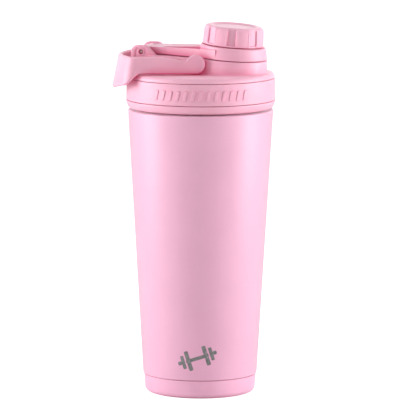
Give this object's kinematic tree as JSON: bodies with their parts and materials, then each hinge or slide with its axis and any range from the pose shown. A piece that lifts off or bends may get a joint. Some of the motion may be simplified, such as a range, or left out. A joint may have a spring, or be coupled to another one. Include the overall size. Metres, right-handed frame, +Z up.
{
  "type": "protein shaker bottle",
  "caption": "Insulated tapered steel shaker bottle with a screw lid, a flip-up arm that carries a twist cap, a swinging carry handle and a clip-in mixing grid.",
  "frame": {"origin": "centre of the base's resting face", "axes": "+Z up the bottle's axis; +X from the cap arm's hinge towards the drinking spout; the object is symmetric about y = 0 apart from the ribs and the cap's grip pockets"},
  "size_m": [0.104, 0.0953, 0.2368],
  "materials": {
    "powder_coat": "fine matte powder coat",
    "lid_plastic": "satin moulded",
    "base_plastic": "satin moulded",
    "grid_plastic": "satin moulded",
    "bare_steel": "electropolished",
    "seal_silicone": "soft matte"
  },
  "bodies": {
    "bottle": {"outer_shell": "powder_coat", "inner_liner": "bare_steel", "outer_bottom": "bare_steel", "vacuum_seal_plug": "bare_steel", "vacuum_getter": "bare_steel", "base_cap": "base_plastic"},
    "lid_seal": {"lid_gasket": "seal_silicone"},
    "lid": {"lid_deck": "lid_plastic", "lid_skirt": "lid_plastic", "grip_band": "lid_plastic", "hinge_pin": "bare_steel"},
    "handle": {"carry_handle": "lid_plastic"},
    "arm": {"flip_arm": "lid_plastic"},
    "cap": {"cap_knob": "lid_plastic", "cap_insert": "lid_plastic", "cap_seal": "seal_silicone"},
    "agitator": {"mixing_agitator": "grid_plastic"}
  },
  "joints": [
    {"name": "lid_lift", "type": "slide", "parent": "bottle", "child": "lid_seal", "axis": [0, 0, 1], "range_m": [0, 0.024]},
    {"name": "lid_turn", "type": "hinge", "parent": "lid_seal", "child": "lid", "pos_m": [0, 0, 0.19], "axis": [0, 0, 1], "range_deg": [0, 720]},
    {"name": "handle_swing", "type": "hinge", "parent": "lid", "child": "handle", "pos_m": [0.0036, 0, 0.2122], "axis": [0, 1, 0], "range_deg": [0, 180]},
    {"name": "arm_flip", "type": "hinge", "parent": "lid", "child": "arm", "pos_m": [-0.0354, 0, 0.2182], "axis": [0, -1, 0], "range_deg": [0, 165]},
    {"name": "cap_turn", "type": "hinge", "parent": "arm", "child": "cap", "pos_m": [0.0213, 0, 0.2233], "axis": [0.0785, 0, 0.9969], "range_deg": [0, 75]},
    {"name": "agitator_pull", "type": "slide", "parent": "lid", "child": "agitator", "axis": [0, 0, -1], "range_m": [0, 0.015]}
  ],
  "couplings": [
    {"joint": "lid_lift", "follows": "lid_turn", "m_per_rad": 0.0019099}
  ]
}
